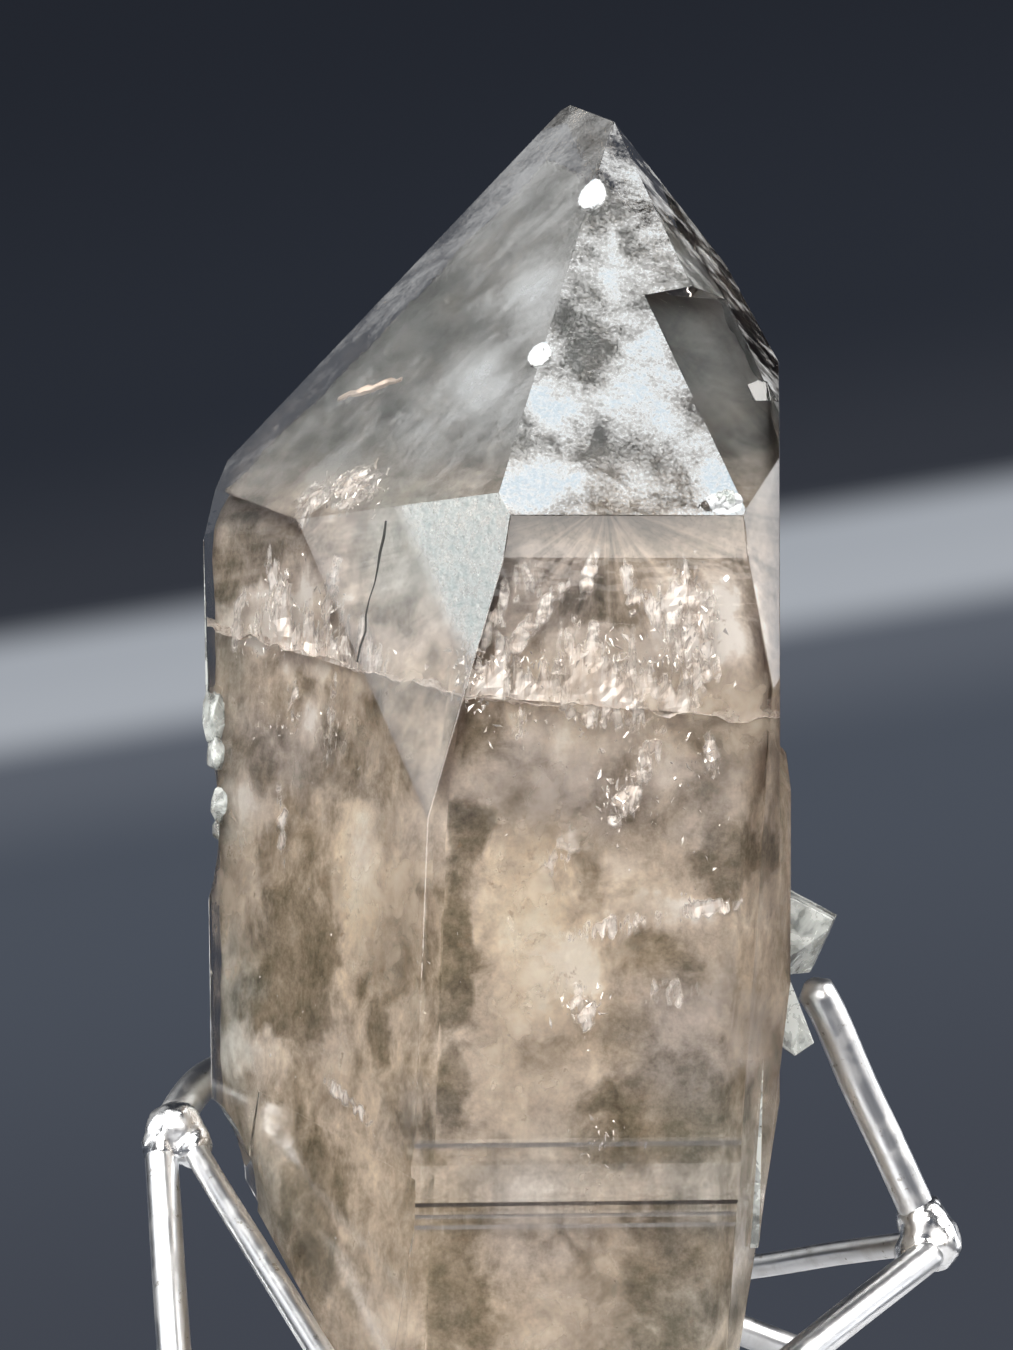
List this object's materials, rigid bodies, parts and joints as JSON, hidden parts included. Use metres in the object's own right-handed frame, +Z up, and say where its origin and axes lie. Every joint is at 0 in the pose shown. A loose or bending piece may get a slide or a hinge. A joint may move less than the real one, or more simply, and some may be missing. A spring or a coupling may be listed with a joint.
{
  "type": "smoky quartz crystal on a stand",
  "caption": "Faceted smoky quartz point with frosted end faces, upright in a small stand of bent and soldered silver rods.",
  "frame": {"origin": "centre of the bounding box's bottom, on the surface the stand rests on", "axes": "+Z up along the crystal, -Y towards the viewer of the picture, +X to that viewer's right"},
  "size_m": [0.0694, 0.079, 0.1118],
  "materials": {
    "quartz": "clear smoky brown, frosted on some faces",
    "silver": "bright silver with uneven solder"
  },
  "bodies": {
    "root": {"crystal": "quartz", "claw_left": "silver", "claw_right": "silver", "claw_back": "silver", "leg_left": "silver", "leg_right": "silver", "leg_back": "silver", "brace_left": "silver", "brace_right": "silver", "brace_back": "silver", "knee_left": "silver", "knee_right": "silver", "knee_back": "silver", "foot_left": "silver", "foot_front": "silver", "foot_back": "silver"}
  },
  "joints": []
}
